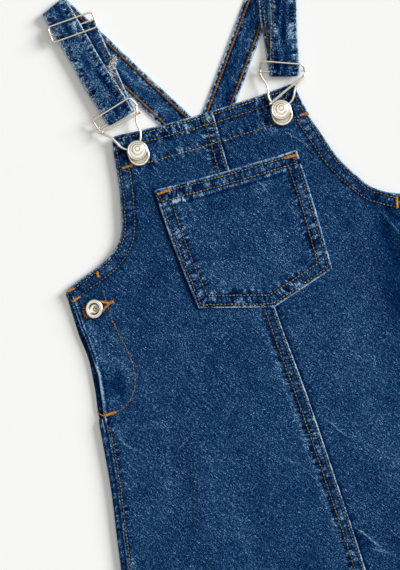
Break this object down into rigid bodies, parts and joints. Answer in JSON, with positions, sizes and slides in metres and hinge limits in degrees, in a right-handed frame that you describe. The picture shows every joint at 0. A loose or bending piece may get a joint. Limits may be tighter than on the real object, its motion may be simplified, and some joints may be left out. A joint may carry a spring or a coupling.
{
  "type": "pinafore dress",
  "caption": "Child's denim pinafore dress laid flat: bib with patch pocket, A-line skirt, buttoned side openings, and straps with wire buckles and sliders.",
  "frame": {"origin": "on the surface that the dress lies on, under the middle of its box", "axes": "+X across the dress, +Y up the dress from the hem to the straps, +Z out of the front, away from the surface"},
  "size_m": [0.488, 0.7056, 0.0104],
  "materials": {
    "denim_front": "stonewashed blue denim twill, worn pale along its edges and seams, tan topstitching",
    "denim_back": "stonewashed blue denim twill",
    "denim_strap": "stonewashed blue denim twill, folded double, pale worn edges, orange topstitching",
    "nickel": "polished nickel plate"
  },
  "bodies": {
    "root": {"back": "denim_back", "pocket": "denim_front", "front_left": "denim_front", "underlap_left": "denim_back", "strap_front_left": "denim_strap", "strap_back_left": "denim_strap", "slider_left": "nickel", "buckle_left": "nickel", "latch_left": "nickel", "bib_button_left": "nickel", "side_button_left": "nickel", "front_right": "denim_front", "underlap_right": "denim_back", "strap_front_right": "denim_strap", "strap_back_right": "denim_strap", "slider_right": "nickel", "buckle_right": "nickel", "latch_right": "nickel", "bib_button_right": "nickel", "side_button_right": "nickel"}
  },
  "joints": []
}
